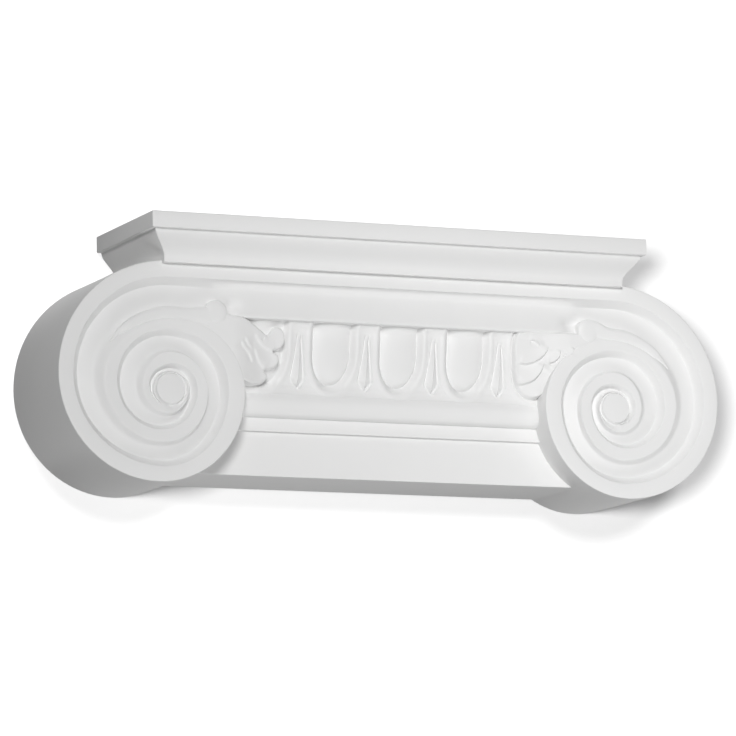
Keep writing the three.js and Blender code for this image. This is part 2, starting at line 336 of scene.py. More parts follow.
@dataclass(frozen=True)
class ScrollPlate:
    """The band and both volutes: a flat fillet with a hollow canal beside it, wound up at each end."""

    scroll: Scroll = field(default_factory=Scroll)
    canal_depth: Run = Run((4.65, 4.65, 4.6, 4.4, 4.0, 3.6, 3.4, 3.2, 2.9, 2.6, 2.0, 1.2, 0.6))
    wall_slope: float = 0.68
    rise_start: Run = Run((0.5, 0.56, 0.72, 0.85, 0.82, 0.68, 0.7, 0.72, 0.6, 0.4, 0.2))
    gentle_rise: float = 0.45
    arris: float = 0.5
    turn_steps: int = 120
    band_steps: int = 36
    edge_bottom: float = 89.6  # lower side of the band's flat edge
    cove_height: float = 3.6
    cove_depth: float = 3.8
    lip_depth: float = 56.6
    lip_radius: float = 1.2
    lip_fade: tuple[float, float] = (93.0, 106.0)
    hollow_from_middle: float = 83.0
    hollow_z: float = 77.6
    hollow_depth: float = 2.4
    eye_groove: float = 1.25
    eye_groove_width: float = 0.75
    cove_fade: tuple[float, float] = (64.0, 106.0)

    def _stations(self) -> list[tuple[str, float]]:
        """The points of a section, named by the part of the section that they lie on."""
        return (
            [("arris", t) for t in (0, 1 / 3, 2 / 3, 1)]
            + [("edge", t) for t in (1.0, 0.5, 0.0)]
            + [("wall", t) for t in (0.25, 0.5, 0.72, 0.88, 1.0)]
            + [("floor", t) for t in (0.04, 0.1, 0.18, 0.27, 0.36, 0.44, 0.51, 0.58, 0.64, 0.7)]
            + [("floor", t) for t in (0.755, 0.805, 0.85, 0.89, 0.92, 0.95, 0.975, 1.0)]
        )

    def _coil_point(self, kind: str, t: float, quarters: float) -> tuple[Vector, float]:
        """A point of the volute's section.

        Args:
            kind: The part of the section.
            t: The share of the way across that part.
            quarters: Quarter turns in from the top.

        Returns:
            Its place in the front view and its depth behind the face.
        """
        outer, inner = self.scroll.outside(quarters), self.scroll.inside(quarters)
        next_outer = self.scroll.outside(quarters + 4)
        fillet, canal = inner - outer, next_outer - inner
        width, room = fillet.length, canal.length
        deep = min(self.canal_depth.at(quarters), 0.95 * room)
        wall = min(self.wall_slope * deep, 0.62 * room)
        if kind == "arris":
            fade = 1 - ease((quarters - 3.4) / 0.5)
            radius = min(self.arris, 0.3 * width) * fade
            angle = t * math.pi / 2
            share = (1 - math.cos(angle)) * min(self.arris, 0.3 * width) / max(width, 1e-6)
            return outer + fillet * share, radius * (1 - math.sin(angle))
        if kind == "edge":
            radius = min(0.35, 0.25 * width, 0.2 * max(wall, 0.01))
            share = 1 - radius * t / max(width, 1e-6)
            return outer + fillet * share, 0.22 * radius * (1 - t) ** 2
        if kind == "wall":
            share = wall * t / max(room, 1e-6)
            sunk = deep * (t if t < 0.72 else t - 0.9 * (t - 0.72) ** 2)
            return inner + canal * share, max(sunk, 0.0)
        foot = wall / max(room, 1e-6)
        bottom = deep * (1 - 0.9 * 0.28**2)
        start = self.rise_start.at(quarters)
        risen = self.gentle_rise * t**1.6 + (1 - self.gentle_rise) * ease((t - start) / (1 - start))
        return inner + canal * between(foot, 1.0, t), bottom * (1 - risen)

    def _band_point(self, kind: str, t: float) -> tuple[float, float]:
        """Height and depth behind the face of a point of the band's own section."""
        top = self.scroll.outside(0).y
        if kind == "arris":
            angle = t * math.pi / 2
            return top - self.arris * (1 - math.cos(angle)), self.arris * (1 - math.sin(angle))
        if kind == "edge":
            return self.edge_bottom + 0.35 * t, 0.12 * (1 - t) ** 2
        if kind == "wall":
            angle = t * math.pi / 2
            drop = self.cove_height * (1 - math.cos(angle))
            return self.edge_bottom - drop, 0.12 + (self.cove_depth - 0.12) * math.sin(angle)
        cove_end = self.edge_bottom - self.cove_height
        lip_sunk = FACE_DEPTH - self.lip_depth
        if t <= 0.88:
            share = t / 0.88
            z = between(cove_end, LIP_Z + self.lip_radius, share)
            return z, between(self.cove_depth, lip_sunk, share**1.15)
        angle = (t - 0.88) / 0.12 * math.pi / 2
        return (
            LIP_Z + self.lip_radius * (1 - math.sin(angle)),
            lip_sunk + self.lip_radius * (1 - math.cos(angle)),
        )

    def build(self) -> bmesh.types.BMesh:
        """Builds the plate as one closed solid.

        Returns:
            The plate, from the flat back to the carved face.
        """
        stations = self._stations()
        coil_steps = 3 * self.turn_steps
        rows, columns = self.band_steps + coil_steps, len(stations) - 1

        def place(along: float, across: float) -> Vector:
            """A point of the band's rows, which lead into the volute's."""
            row = round(along * rows)
            kind, t = stations[round(across * columns)]
            if row >= self.band_steps:
                quarters = (row - self.band_steps) * 4 / self.turn_steps
                point, sunk = self._coil_point(kind, t, quarters)
                return spot(point.x, FACE_DEPTH - sunk, point.y)
            share = 1 - (1 - row / self.band_steps) ** 1.6
            point, sunk = self._coil_point(kind, t, 0)
            x = point.x * share
            near_lip = kind == "floor" and t > 0.7
            start, end = self.lip_fade if near_lip else self.cove_fade
            mix = ease((x - start) / (end - start))
            if kind == "floor" and 0.5 < t <= 0.9:
                other = ease((x - self.cove_fade[0]) / (self.cove_fade[1] - self.cove_fade[0]))
                late = ease((x - self.lip_fade[0]) / (self.lip_fade[1] - self.lip_fade[0]))
                mix = between(other, late, ease((t - 0.5) / 0.4))
            z, band_sunk = self._band_point(kind, t)
            return spot(x, FACE_DEPTH - between(band_sunk, sunk, mix), between(z, point.y, mix))

        bm = carved_face(rows, columns, place)
        bmesh.ops.remove_doubles(bm, verts=bm.verts, dist=2e-4)
        eye_rim = [
            edge
            for edge in bm.edges
            if edge.is_boundary
            and all(self._from_eye(vert) < self.scroll.eye_radius + 0.05 for vert in edge.verts)
        ]
        self._raise_eye(bm, eye_rim)
        everything = bm.verts[:] + bm.edges[:] + bm.faces[:]
        bmesh.ops.mirror(bm, geom=everything, matrix=Matrix(), merge_dist=1e-3, axis="X")
        for side in Side:
            self._hollow(bm, STRIP_MIDDLE + side.value * self.hollow_from_middle)
            self._groove_eye(bm, side.value * self.scroll.eye_x)
        return close_at_back(bm, 0.0)

    def _groove_eye(self, bm: bmesh.types.BMesh, x: float) -> None:
        """Sinks a groove round an eye, where its canal has run out."""
        face_y = BACK_Y - FACE_DEPTH
        for vert in bm.verts:
            radius = math.hypot(vert.co.x - x, vert.co.z - self.scroll.eye_z)
            away = abs(radius - self.scroll.eye_radius) / self.eye_groove_width
            if away < 1:
                vert.co.y = max(vert.co.y, face_y + self.eye_groove * (1 - away**2) ** 1.5)

    def _hollow(self, bm: bmesh.types.BMesh, x: float) -> None:
        """Presses a soft hollow into the canal beside a bud."""
        for vert in bm.verts:
            away = math.hypot((vert.co.x - x) / 7.0, (vert.co.z - self.hollow_z) / 6.2)
            if away < 1:
                vert.co.y += self.hollow_depth * (1 - away**2) ** 2

    def _from_eye(self, vert: bmesh.types.BMVert) -> float:
        """Distance of a point from the eye's centre in the front view."""
        return math.hypot(vert.co.x - self.scroll.eye_x, vert.co.z - self.scroll.eye_z)

    def _raise_eye(self, bm: bmesh.types.BMesh, rim: list[bmesh.types.BMEdge]) -> None:
        """Closes the eye with a faintly domed disc, in rings from its rim to its centre."""
        ring = rim
        for radius, lift in ((7.0, 0.0), (6.75, 0.0), (6.5, 0.0), (6.2, 0.0), (4.4, 0.2), (2.2, 0.3)):
            grown = bmesh.ops.extrude_edge_only(bm, edges=ring)["geom"]
            verts = [part for part in grown if isinstance(part, bmesh.types.BMVert)]
            for vert in verts:
                share = radius / self._from_eye(vert)
                x = between(self.scroll.eye_x, vert.co.x, share)
                z = between(self.scroll.eye_z, vert.co.z, share)
                vert.co = spot(x, FACE_DEPTH + 0.1 + lift, z)
            inner = set(verts)
            ring = [
                part
                for part in grown
                if isinstance(part, bmesh.types.BMEdge) and all(v in inner for v in part.verts)
            ]
        bmesh.ops.contextual_create(bm, geom=ring)


@dataclass(frozen=True)
class Stem:
    """The leaf's stem, laid over the top of a volute, with the round bud that it springs from."""

    scroll: Scroll = field(default_factory=Scroll)
    bud_from_middle: float = 89.9
    bud_z: float = 75.2
    bud_radius: float = 5.4
    crown_depth: float = 58.1
    radius: Run = Run((37.7, 33.8, 33.25, 32.9, 32.9, 33.6))
    half_width: Run = Run((4.5, 3.0, 2.95, 2.5, 2.0, 0.3))
    end_angle: float = 0.96  # radians round from the top of the volute
    web_radius: float = 33.2
    root_depth: float = 50.0

    def _bud(self, x: float) -> bmesh.types.BMesh:
        """The bud: a low round button with a soft edge."""

        def place(along: float, across: float) -> Vector:
            """A point of the button, round it and outwards."""
            angle = 2 * math.pi * along
            radius = self.bud_radius * math.sin(math.pi / 2 * across)
            fall = 1.7 * (1 - math.cos(math.pi / 2 * across)) ** 1.6
            return spot(
                x + radius * math.cos(angle),
                self.crown_depth + 0.1 - fall,
                self.bud_z + radius * math.sin(angle),
            )

        return close_at_back(carved_face(48, 12, place), self.root_depth)

    def build(self, side: Side) -> list[bmesh.types.BMesh]:
        """Builds the stem and bud of one volute.

        Args:
            side: Which volute.

        Returns:
            The closed solids to be joined.
        """
        bud_x = self.bud_from_middle + side.value * STRIP_MIDDLE
        from_eye = Vector((bud_x - self.scroll.eye_x, self.bud_z - self.scroll.eye_z))
        start = math.atan2(from_eye.x, from_eye.y)

        def around(radius: float, angle: float) -> tuple[float, float]:
            """A point round the eye, from the top outwards."""
            return (
                self.scroll.eye_x + radius * math.sin(angle),
                self.scroll.eye_z + radius * math.cos(angle),
            )

        def depth(t: float, s: float) -> float:
            """Depth of the stem, rounded off at its edges and fading out at its end."""
            edge = 0.8 * abs(s) ** 3.5 + 0.4 * max(abs(s) - 0.86, 0.0) / 0.14
            return self.crown_depth - 0.15 * t - 1.7 * ease(4 * t - 3) - edge

        stem = Blade(
            lambda t: around(self.radius.at(5 * t), between(start, self.end_angle, t)),
            lambda t: self.half_width.at(5 * t),
            depth,
            rows=60,
        )
        web = Blade(
            lambda t: around(self.web_radius, between(start - 0.3, 0.12, t)),
            lambda t: 3.6 * min(1.0, 0.35 + 2.2 * t) - 1.2 * ease(2 * t - 1),
            lambda t, s: FACE_DEPTH - 0.25 - 0.5 * max(abs(s) - 0.8, 0.0) / 0.2,
            rows=24,
        )
        solids = [web.build(self.root_depth), stem.build(self.root_depth), self._bud(bud_x)]
        return [mirrored(solid) for solid in solids] if side is Side.LEFT else solids


# ---- Abacus --------------------------------------------------------------------------------------


@dataclass(frozen=True)
class Abacus:
    """The square slab on top, with an ogee under its fascia on the front and both returns."""

    half_width: float = 118.9
    depth: float = 69.0
    top: float = 116.4
    fascia_height: float = 7.3
    fascia_step: float = 2.2
    ogee_inset: float = 6.2
    ogee_share: float = 0.88  # share of its height over which it runs back
    ogee_bottom: float = 96.8
    bottom: float = 95.6
    arris: float = 0.45
    ogee_steps: int = 18

    def _profile(self) -> list[tuple[float, float]]:
        """Inset and height of the section's points, from the top down."""
        fascia_bottom = self.top - self.fascia_height
        rounding = [
            (self.arris * (1 - math.sin(a)), self.arris * (1 - math.cos(a)))
            for a in (math.pi / 2 * k / 3 for k in range(4))
        ]
        points = [(inset, self.top - fall) for inset, fall in rounding]
        points += [(inset, fascia_bottom + fall) for inset, fall in reversed(rounding)]
        points.append((self.fascia_step - 0.25, fascia_bottom))
        ogee_top = fascia_bottom - 0.25
        for step in range(self.ogee_steps + 1):
            t = step / self.ogee_steps
            height = ogee_top - t * (ogee_top - self.ogee_bottom)
            points.append((self.fascia_step + self.ogee_inset * ease(t / self.ogee_share), height))
        points.append((self.fascia_step + self.ogee_inset, self.bottom))
        return points

    def build(self) -> bmesh.types.BMesh:
        """Builds the slab.

        Returns:
            The closed solid, mitred at both front corners.
        """
        profile = self._profile()
        corners = [(-1, 0), (-1, 1), (1, 1), (1, 0), (-1, 0)]

        def place(along: float, across: float) -> Vector:
            """A point of the section, moved to one of the plan's corners."""
            side, front = corners[round(along * 4)]
            inset, z = profile[round(across * (len(profile) - 1))]
            return spot(side * (self.half_width - inset), front * (self.depth - inset), z)

        bm = carved_face(4, len(profile) - 1, place)
        bmesh.ops.remove_doubles(bm, verts=bm.verts, dist=1e-4)
        for z in (self.top, self.bottom):
            rim = [e for e in bm.edges if e.is_boundary and all(abs(v.co.z - z) < 1e-3 for v in e.verts)]
            bmesh.ops.contextual_create(bm, geom=rim)
        mitres = [
            edge
            for edge in bm.edges
            if all(v.co.y < BACK_Y - 1 for v in edge.verts)
            and abs(edge.verts[0].co.z - edge.verts[1].co.z) > 1e-4
            and abs(edge.verts[0].co.x) > 1
        ]
        bmesh.ops.bevel(
            bm, geom=mitres, offset=0.3, offset_type="OFFSET", affect="EDGES",
            segments=2, profile=0.5, material=-1, clamp_overlap=True,
        )
        bmesh.ops.recalc_face_normals(bm, faces=bm.faces)
        return bm


# ---- Mouldings and carved strip ------------------------------------------------------------------


@dataclass(frozen=True)
class Mouldings:
    """Neck, fillet, bead and the ground of the carved strip, between the volutes."""

    half_width: float = 104.0
    neck_bottom: float = 6.0
    neck_depth: float = 42.7
    fillet_bottom: float = 25.7
    fillet_depth: float = 44.6
    bead_bottom: float = 31.6
    bead_depth: float = 49.6
    strip_bottom: float = 43.4
    strip_bottom_depth: float = 46.6
    strip_top_depth: float = 52.4
    top_cove: float = 1.9
    top_cove_height: float = 3.4

    def ground(self, z: float) -> float:
        """Depth of the carved strip's ground at a height."""
        t = min(max((z - self.strip_bottom) / (LIP_Z - self.strip_bottom), 0.0), 1.0)
        flare = 1.2 * (1 - ease((z - self.strip_bottom) / 3.6))
        rise = (self.strip_top_depth - self.strip_bottom_depth) * math.sin(math.pi / 2 * t)
        near_lip = min(max(1 - (LIP_Z - z) / self.top_cove_height, 0.0), 1.0)
        cove = self.top_cove * near_lip**2
        return self.strip_bottom_depth + rise + flare + cove

    def build(self) -> bmesh.types.BMesh:
        """Builds the mouldings as one section.

        Returns:
            The closed solid, running into both volutes.
        """
        soft = 0.4
        middle = (self.strip_bottom + self.bead_bottom) / 2
        half = (self.strip_bottom - self.bead_bottom) / 2
        points = [(0.0, LIP_Z + 1), (0.0, self.neck_bottom)]
        for depth, z in ((self.neck_depth, self.neck_bottom), (self.fillet_depth, self.fillet_bottom)):
            if z > self.neck_bottom:
                points.append((self.neck_depth, z))
            for angle in (0, math.pi / 6, math.pi / 3, math.pi / 2):
                points.append((depth - soft * (1 - math.sin(angle)), z + soft * (1 - math.cos(angle))))
        points.append((self.fillet_depth, self.bead_bottom))
        for step in range(1, 20):
            angle = math.pi * step / 20
            depth = self.fillet_depth + (self.bead_depth - self.fillet_depth) * math.sin(angle)
            if step <= 10 or depth > self.ground(self.strip_bottom) + 0.1:
                points.append((depth, middle - half * math.cos(angle)))
        foot = points[-1][1] + 0.3
        for step in range(25):
            z = between(foot, LIP_Z, step / 24)
            points.append((self.ground(z), z))
        points.append((self.ground(LIP_Z), LIP_Z + 1))
        return extruded_section(points, self.half_width)


@dataclass(frozen=True)
class EggAndDart:
    """The carved strip: eggs in their cups, with a dart between each two."""

    mouldings: Mouldings = field(default_factory=Mouldings)
    pitch: float = 32.3
    cup_half_width: float = 11.3
    cup_bottom: float = 43.0
    arc_z: float = 60.5
    egg_share: float = 0.775  # the egg's half width as a share of the cup's
    crest: float = 0.45
    groove: float = 2.8
    dart_top: float = 69.0
    dart_tip: float = 45.4
    dart_half_width: float = 3.3
    dart_barb: float = 4.0  # the barbs' height above the tip
    border_width: float = 0.85

    def _across_cup(self, s: float) -> float:
        """Stand-out from the ground at a share of the cup's half width."""
        egg = self.egg_share
        if s <= egg:
            t = s / egg
            return -0.35 - (self.groove - 0.35) * (0.66 * t**2.4 + 0.34 * t**8)
        if s <= 0.94:
            t = (s - egg) / (0.94 - egg)
            return between(-self.groove, self.crest - 0.5, t + 0.06 * math.sin(math.pi * t))
        if s <= 1.04:
            t = (s - 0.94) / 0.1
            return self.crest - 0.5 * (1 - t) ** 2
        t = (s - 1.04) / 0.21
        return between(self.crest, -0.6, t**1.5)

    def _u_line(self, along: float, s: float) -> tuple[float, float]:
        """A point of the line that rounds the cup at a share of its half width."""
        straight, bend = 0.27, 0.46
        half_width = s * self.cup_half_width
        depth = s * (self.arc_z - self.cup_bottom)
        top = LIP_Z + 0.6
        if along < straight:
            return -half_width, between(top, self.arc_z, along / straight)
        if along > straight + bend:
            return half_width, between(self.arc_z, top, (along - straight - bend) / straight)
        angle = math.pi * (along - straight) / bend
        return -half_width * math.cos(angle), self.arc_z - depth * math.sin(angle)

    def cup(self, middle: float) -> bmesh.types.BMesh:
        """One egg in its cup.

        Args:
            middle: X of the egg's middle.

        Returns:
            The closed solid.
        """
        shares = [0.0, 0.15, 0.3, 0.42, 0.52, 0.6, 0.66, 0.7, 0.73, 0.755, self.egg_share]
        shares += [0.79, 0.83, 0.87, 0.91, 0.94, 0.955, 0.97, 0.985]
        shares += [1.0, 1.02, 1.04, 1.08, 1.14, 1.2, 1.25]

        def place(along: float, across: float) -> Vector:
            """A point of the egg and cup, round the U and outwards."""
            s = shares[round(across * (len(shares) - 1))]
            x, z = self._u_line(along, s)
            return spot(middle + x, self.mouldings.ground(z) + self._across_cup(s), z)

        bm = carved_face(64, len(shares) - 1, place)
        return close_at_back(bm, 40.0)

    def cup_hollow(self, middle: float) -> bmesh.types.BMesh:
        """The room cleared in the ground for one egg and its cup."""

        def place(along: float, across: float) -> Vector:
            """A point of the flat cut, round the U and outwards."""
            x, z = self._u_line(along, 1.08 * across)
            return spot(middle + x, 60.0, z)

        return close_at_back(carved_face(64, 6, place), 42.0)

    def dart(self, middle: float) -> list[bmesh.types.BMesh]:
        """A dart's sunk outline and its ridged blade.

        Args:
            middle: X of the dart's middle.

        Returns:
            The solid to cut away, then the two to join.
        """
        length = self.dart_top - self.dart_tip
        barb = self.dart_barb / length
        ground = self.mouldings.ground

        def width(t: float) -> float:
            """Half width of the blade, widest at the barbs."""
            if t < barb:
                return self.dart_half_width * (t / barb) ** 0.8
            rest = (t - barb) / (1 - barb)
            return between(self.dart_half_width, 0.8, 1 - (1 - rest) ** 1.25)

        def height(t: float, below: float, above: float) -> float:
            """Z along a line that runs past the dart's tip and top."""
            return self.dart_tip - below + (length + below + above) * t

        def ridge(t: float, s: float) -> float:
            """Depth of the blade, which falls away from its middle to both edges."""
            high = 0.8 * ease(t / 0.16) * (1 - ease((t - 0.4) / 0.6))
            low = -1.2 * ease((1 - t) / 0.12) - 0.1
            return ground(self.dart_tip + length * t) + between(high, low, abs(s) ** 1.05)

        def edged(t: float, s: float) -> float:
            """Depth of the border, sunk beside the blade and level with the ground outside."""
            outside = abs(s) * (width(t) + self.border_width) - width(t)
            sunk = -1.1 * ease((1 - t) / 0.12)
            return ground(height(t, 1.1, 0.3)) + between(sunk, 0.05, ease(outside / self.border_width))

        groove = Blade(
            lambda t: (middle, height(t, 1.0, 0.2)),
            lambda t: width(t) + 0.75,
            lambda t, s: ground(height(t, 1.0, 0.2)) + 2.0,
            rows=30,
            columns=4,
        )
        border = Blade(
            lambda t: (middle, height(t, 1.1, 0.3)),
            lambda t: width(t) + self.border_width,
            edged,
            rows=40,
            columns=24,
        )
        blade = Blade(lambda t: (middle, self.dart_tip + length * t), width, ridge, rows=40, columns=10)
        return [groove.build(43.5), border.build(40.0), blade.build(40.0)]

    def build(self, casting: Casting) -> None:
        """Works every egg and dart into the casting."""
        eggs = [STRIP_MIDDLE + n * self.pitch for n in (-2, -1, 0, 1, 2)]
        darts = [STRIP_MIDDLE + n * self.pitch for n in (-1.5, -0.5, 0.5, 1.5)]
        for middle in eggs:
            casting.work(self.cup_hollow(middle), Working.CUT_AWAY)
        for middle in eggs:
            casting.work(self.cup(middle))
        for middle in darts:
            groove, border, blade = self.dart(middle)
            casting.work(groove, Working.CUT_AWAY)
            casting.work(border)
            casting.work(blade)


@dataclass(frozen=True)
class Fold:
    """A step carved along a curve of a leaf: the side on its left stands over the side on its right."""

    curve: Line
    rise: float = 0.75
    sink: float = 0.65
    reach: float = 6.5
    fade: float = 2.5
    width: float = 0.7

    def lift(self, x: float, z: float) -> float:
        """How far the fold raises or sinks the leaf.

        Args:
            x: The point's distance out from the strip's middle.
            z: Its height.

        Returns:
            The change of depth, towards the front.
        """
        away, offset, along = nearest(self.curve, x, z, closed=False)
        total = sum(math.dist(a, b) for a, b in zip(self.curve, self.curve[1:]))
        shown = ease(min(along, total - along) / self.fade)
        if away > self.reach or shown == 0:
            return 0.0
        fall = (1 - ease(away / self.reach)) * shown
        high, low = self.rise * fall, -self.sink * fall
        return between(low, high, ease(0.5 + offset / self.width))


def nearest(curve: Line, x: float, z: float, closed: bool) -> tuple[float, float, float]:
    """The nearest place on a line of points.

    Args:
        curve: The line's points.
        x: The point's X.
        z: The point's height.
        closed: Whether the line runs back to its first point.

    Returns:
        The distance, the same with a plus sign on the line's left and a minus on its right,
        and the length along the line.
    """
    best, run = (1e9, 0.0, 0.0), 0.0
    ends = zip(curve, curve[1:] + curve[:1]) if closed else zip(curve, curve[1:])
    for (ax, az), (bx, bz) in ends:
        dx, dz = bx - ax, bz - az
        length = math.hypot(dx, dz)
        share = min(max(((x - ax) * dx + (z - az) * dz) / length**2, 0.0), 1.0)
        away = math.hypot(x - ax - share * dx, z - az - share * dz)
        if away < best[0]:
            left = dx * (z - az) - dz * (x - ax)
            best = (away, math.copysign(away, left), run + share * length)
        run += length
    return best


def rounded(curve: Line, closed: bool = False) -> Line:
    """A smooth line through the same points.

    Args:
        curve: The points.
        closed: Whether the line runs back to its first point.

    Returns:
        The line, with five steps for each of the given ones.
    """
    points = curve[-1:] + curve + curve[:2] if closed else curve
    xs, zs = (Run(tuple(point[axis] for point in points)) for axis in (0, 1))
    start, steps = (1, 5 * len(curve)) if closed else (0, 5 * (len(curve) - 1) + 1)
    return tuple((xs.at(start + k / 5), zs.at(start + k / 5)) for k in range(steps))


@dataclass(frozen=True)
class Leaf:
    """Half a palmette that hangs between the bud and the first egg, carved in overlapping petals.

    Its places are measured from the strip's middle outwards.
    """

    outline: Line
    folds: tuple[Fold, ...]
    inner_depth: float = 54.0
    outer_depth: float = 57.6
    corner: tuple[float, float] = (51.0, 41.5)
    size: tuple[float, float] = (45.0, 36.5)
    pitch: float = 0.36
    edge_width: float = 0.8

    def build(self, mouldings: Mouldings, side: Side) -> bmesh.types.BMesh:
        """Builds the leaf.

        Args:
            mouldings: The ground that it stands on.
            side: Which end of the strip it lies at.

        Returns:
            The closed solid.
        """
        border = rounded(self.outline, closed=True)
        folds = [replace(fold, curve=rounded(fold.curve)) for fold in self.folds]

        def place(along: float, across: float) -> Vector:
            """A point of the leaf's face, or of its sunk surroundings."""
            x = self.corner[0] + self.size[0] * along
            z = self.corner[1] + self.size[1] * across
            sunk = mouldings.ground(z) - 2.2
            inside = nearest(border, x, z, closed=True)[1]
            if inside < -0.6:
                return spot(STRIP_MIDDLE + x, sunk, z)
            out = ease((x - 56.0) / 26.0)
            low = mouldings.ground(z) + between(1.2, 2.3, ease((z - 44.0) / 9.0))
            surface = between(low, max(between(self.inner_depth, self.outer_depth, out), low), out)
            surface += sum(fold.lift(x, z) for fold in folds)
            roll = 0.7 * (1 - ease(inside / (1.0 + self.edge_width))) ** 2
            edge = ease((inside + 0.35) / self.edge_width)
            return spot(STRIP_MIDDLE + x, between(sunk, surface - roll, edge), z)

        rows, columns = round(self.size[0] / self.pitch), round(self.size[1] / self.pitch)
        bm = close_at_back(carved_face(rows, columns, place), 41.0)
        return mirrored(bm, STRIP_MIDDLE) if side is Side.LEFT else bm


LEFT_LEAF = Leaf(
    outline=(
        (90.0, 76.0), (83.0, 75.0), (78.0, 74.3), (73.5, 72.6), (70.0, 70.6), (66.6, 68.2),
        (64.6, 66.9), (62.9, 68.4), (61.2, 70.4), (59.0, 70.6), (57.0, 69.2), (56.0, 66.4),
        (56.2, 63.4), (58.0, 61.0), (61.2, 59.9), (58.9, 58.4), (58.2, 56.2), (59.0, 53.8),
        (61.6, 52.2), (65.2, 51.3), (63.4, 49.8), (63.6, 47.6), (65.6, 45.9), (69.0, 45.0),
        (74.0, 44.9), (80.0, 47.4), (86.5, 53.5), (92.6, 64.6), (94.0, 72.0),
    ),
    folds=(
        Fold(((60.0, 59.8), (63.5, 60.0), (68.0, 62.6), (71.6, 67.4)), 0.4, 0.35, width=1.6),
        Fold(((64.0, 51.2), (66.5, 52.6), (69.5, 56.0), (71.5, 61.0)), 0.4, 0.35, width=1.6),
        Fold(((72.0, 53.5), (74.1, 57.8), (77.2, 61.0), (78.2, 64.0)), 0.4, 0.4, 4.0, width=1.4),
        Fold(((72.0, 60.4), (74.6, 61.8), (76.4, 65.7)), 0.35, 0.35, 4.0, width=1.4),
        Fold(((64.8, 66.6), (66.5, 65.2), (67.2, 63.6)), -0.5, -0.2, 3.0, 1.5),
    ),
)
RIGHT_LEAF = Leaf(
    outline=(
        (92.0, 76.0), (84.0, 75.4), (78.0, 75.4), (72.0, 75.4), (66.0, 75.4), (60.0, 75.2),
        (55.4, 74.2), (53.6, 70.8), (53.2, 66.4), (53.4, 61.0), (54.0, 56.0), (55.2, 51.6),
        (57.4, 47.4), (60.8, 44.6), (65.6, 43.4), (70.0, 45.4), (73.4, 49.6),
        (77.0, 54.0), (80.8, 59.0), (87.4, 66.0), (95.0, 71.0),
    ),
    edge_width=2.4,
    folds=(
        Fold((
            (56.0, 60.3), (58.6, 59.5), (61.3, 59.6), (64.4, 60.6),
            (67.0, 62.2), (69.4, 64.6), (71.2, 67.6),
        )),
        Fold((
            (56.4, 50.7), (58.6, 50.5), (61.1, 51.0), (63.6, 52.0),
            (65.6, 53.6), (67.6, 56.4), (69.4, 60.4),
        )),
        Fold((
            (65.0, 42.5), (67.4, 44.4), (69.5, 46.8), (71.8, 51.2), (72.8, 53.6), (73.6, 57.0),
        ), 0.7, 0.8),
        Fold(((70.6, 60.0), (72.6, 60.4), (74.2, 61.4), (75.4, 62.9), (76.3, 66.2)), 0.6, 0.7, 3.6, 1.4),
        Fold(((71.8, 55.6), (73.2, 57.2), (75.9, 58.6), (77.3, 61.0), (78.0, 64.2)), 0.6, 0.8, 3.6, 1.4),
        Fold(((78.0, 63.2), (80.2, 63.4), (81.9, 65.0), (82.4, 67.6)), 0.6, 0.7, 3.2, 1.2),
        Fold(((61.6, 70.0), (64.2, 70.2), (66.0, 68.8), (66.6, 67.0)), 0.7, 0.5, 3.4, 1.2),
    ),
)


# ---- Finish --------------------------------------------------------------------------------------


class Socket:
    """A node's output that can be reckoned with as a number."""

    def __init__(self, tree: bpy.types.NodeTree, source: bpy.types.NodeSocket) -> None:
        """Wraps one output of a node tree."""
        self.tree, self.source = tree, source

    def _maths(self, operation: str, first: object, second: object) -> "Socket":
        """A Math node on two values or sockets."""
        node = self.tree.nodes.new("ShaderNodeMath")
        node.operation = operation
        for slot, value in zip(node.inputs, (first, second)):
            if isinstance(value, Socket):
                self.tree.links.new(value.source, slot)
            else:
                slot.default_value = value
        return Socket(self.tree, node.outputs[0])

    def __add__(self, other: object) -> "Socket":
        """self + other."""
        return self._maths("ADD", self, other)

    def __radd__(self, other: object) -> "Socket":
        """other + self."""
        return self._maths("ADD", other, self)

    def __rsub__(self, other: object) -> "Socket":
        """other - self."""
        return self._maths("SUBTRACT", other, self)

    def __mul__(self, other: object) -> "Socket":
        """self * other."""
        return self._maths("MULTIPLY", self, other)

    def __rmul__(self, other: object) -> "Socket":
        """other * self."""
        return self._maths("MULTIPLY", other, self)


class Shader:
    """A material being put together from nodes."""

    def __init__(self, name: str) -> None:
        """Starts a material with nothing but its output."""
        self.material = bpy.data.materials.new(name)
        self.material.use_nodes = True
        self.tree = self.material.node_tree
        self.tree.nodes.clear()

    def node(self, kind: str, settings: dict | None = None, **values: object) -> bpy.types.Node:
        """Adds a node.

        Args:
            kind: The node's type.
            settings: Its own properties, set before its sockets.
            **values: Sockets by name, with spaces as underscores, as a value or another output.

        Returns:
            The node.
        """
        made = self.tree.nodes.new(kind)
        for key, value in (settings or {}).items():
            setattr(made, key, value)
        for key, value in values.items():
            slot = made.inputs[key.replace("_", " ")]
            if isinstance(value, Socket):
                self.tree.links.new(value.source, slot)
            elif isinstance(value, bpy.types.NodeSocket):
                self.tree.links.new(value, slot)
            else:
                slot.default_value = value
        return made

    def value(self, node: bpy.types.Node, output: str | int = 0) -> Socket:
        """One of a node's outputs, to reckon with."""
        return Socket(self.tree, node.outputs[output])

    def surface(self, shader: bpy.types.Node) -> bpy.types.Material:
        """Ends the material in a shader and returns it."""
        self.node("ShaderNodeOutputMaterial", Surface=shader.outputs[0])
        return self.material


